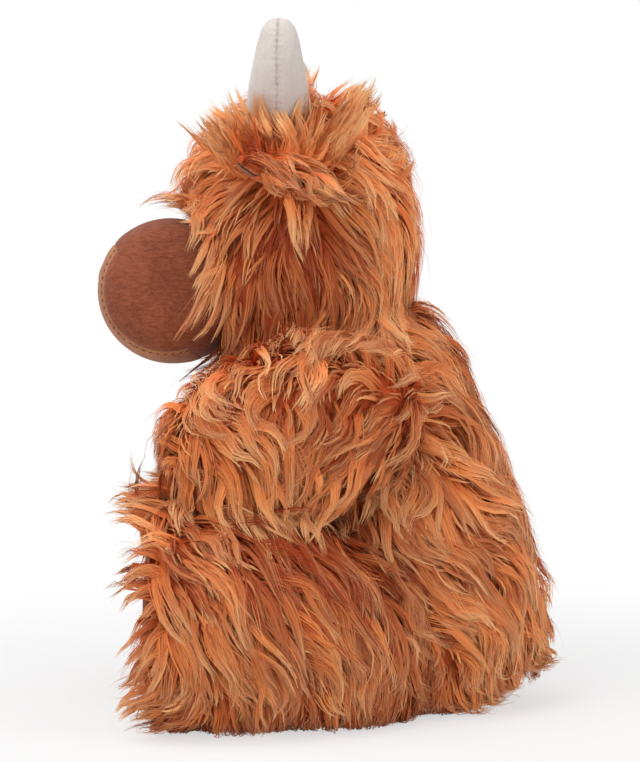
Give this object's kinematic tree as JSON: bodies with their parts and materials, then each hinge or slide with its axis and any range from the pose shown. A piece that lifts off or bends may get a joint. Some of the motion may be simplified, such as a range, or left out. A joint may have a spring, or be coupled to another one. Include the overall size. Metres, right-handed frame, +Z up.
{
  "type": "soft toy cow",
  "caption": "Seated soft toy cow with long pile, upright horns, drooping ears and a drum-shaped muzzle; stuffed cloth skins, with limbs, head, ears and tail that move.",
  "frame": {"origin": "the flat seat on the floor, on the toy's middle plane, under its body", "axes": "+Z up, the cow faces -Y, and its left side is +X"},
  "size_m": [0.2144, 0.2111, 0.3157],
  "materials": {
    "fur": "long burnt orange pile with pale golden tips",
    "brown_velour": "short brown nap",
    "tan_velour": "short tan nap",
    "white_plush": "off-white short plush",
    "stuffing_fibre": "loose white fibre",
    "pouch_cloth": "plain woven cotton",
    "plastic_pellets": "small translucent pellets",
    "black_eye": "polished black",
    "white_washer": "plain moulded",
    "sewing_thread": "dark brown thread"
  },
  "bodies": {
    "body": {"body_skin": "fur", "body_stuffing": "stuffing_fibre", "pellet_pouch": "pouch_cloth", "pellet_fill": "plastic_pellets", "closing_seam_thread": "sewing_thread"},
    "head": {"head_skin": "fur", "head_stuffing": "stuffing_fibre", "muzzle_skin": "brown_velour", "muzzle_front_panel": "tan_velour", "muzzle_stuffing": "stuffing_fibre", "nostril_left": "sewing_thread", "nostril_right": "sewing_thread", "horn_left_skin": "white_plush", "horn_left_stuffing": "stuffing_fibre", "horn_right_skin": "white_plush", "horn_right_stuffing": "stuffing_fibre", "eye_left": "black_eye", "eye_washer_left": "white_washer", "eye_right": "black_eye", "eye_washer_right": "white_washer"},
    "tail": {"tail": "fur"},
    "arm_left": {"arm_left_skin": "fur", "arm_left_stuffing": "stuffing_fibre"},
    "leg_left": {"leg_left_skin": "fur", "leg_left_stuffing": "stuffing_fibre", "sole_pad_left": "brown_velour"},
    "ear_left": {"ear_left_outer": "fur", "ear_left_lining": "brown_velour"},
    "arm_right": {"arm_right_skin": "fur", "arm_right_stuffing": "stuffing_fibre"},
    "leg_right": {"leg_right_skin": "fur", "leg_right_stuffing": "stuffing_fibre", "sole_pad_right": "brown_velour"},
    "ear_right": {"ear_right_outer": "fur", "ear_right_lining": "brown_velour"}
  },
  "joints": [
    {"name": "neck_nod", "type": "hinge", "parent": "body", "child": "head", "pos_m": [0, -0.012, 0.148], "axis": [1, 0, 0], "range_deg": [-8, 12], "stiffness_Nm_per_rad": 0.6, "springref_deg": -4.79},
    {"name": "tail_swing", "type": "hinge", "parent": "body", "child": "tail", "pos_m": [0, 0.0625, 0.0535], "axis": [0, 1, 0], "range_deg": [-30, 30]},
    {"name": "shoulder_left_lift", "type": "hinge", "parent": "body", "child": "arm_left", "pos_m": [0.051, -0.012, 0.13882], "axis": [-1, 0, 0], "range_deg": [0, 35]},
    {"name": "hip_left_splay", "type": "hinge", "parent": "body", "child": "leg_left", "pos_m": [0.058, 0.005, 0.0505], "axis": [0, 0, 1], "range_deg": [0, 25], "stiffness_Nm_per_rad": 0.08},
    {"name": "ear_left_flap", "type": "hinge", "parent": "head", "child": "ear_left", "pos_m": [0.0485, -0.04578, 0.24692], "axis": [0.251, 0.8542, -0.4554], "range_deg": [-10, 15], "stiffness_Nm_per_rad": 0.005, "springref_deg": -2.29},
    {"name": "shoulder_right_lift", "type": "hinge", "parent": "body", "child": "arm_right", "pos_m": [-0.051, -0.012, 0.13882], "axis": [-1, 0, 0], "range_deg": [0, 35]},
    {"name": "hip_right_splay", "type": "hinge", "parent": "body", "child": "leg_right", "pos_m": [-0.058, 0.005, 0.0505], "axis": [0, 0, -1], "range_deg": [0, 25], "stiffness_Nm_per_rad": 0.08},
    {"name": "ear_right_flap", "type": "hinge", "parent": "head", "child": "ear_right", "pos_m": [-0.0485, -0.04578, 0.24692], "axis": [0.251, -0.8542, 0.4554], "range_deg": [-10, 15], "stiffness_Nm_per_rad": 0.005, "springref_deg": -2.29}
  ]
}
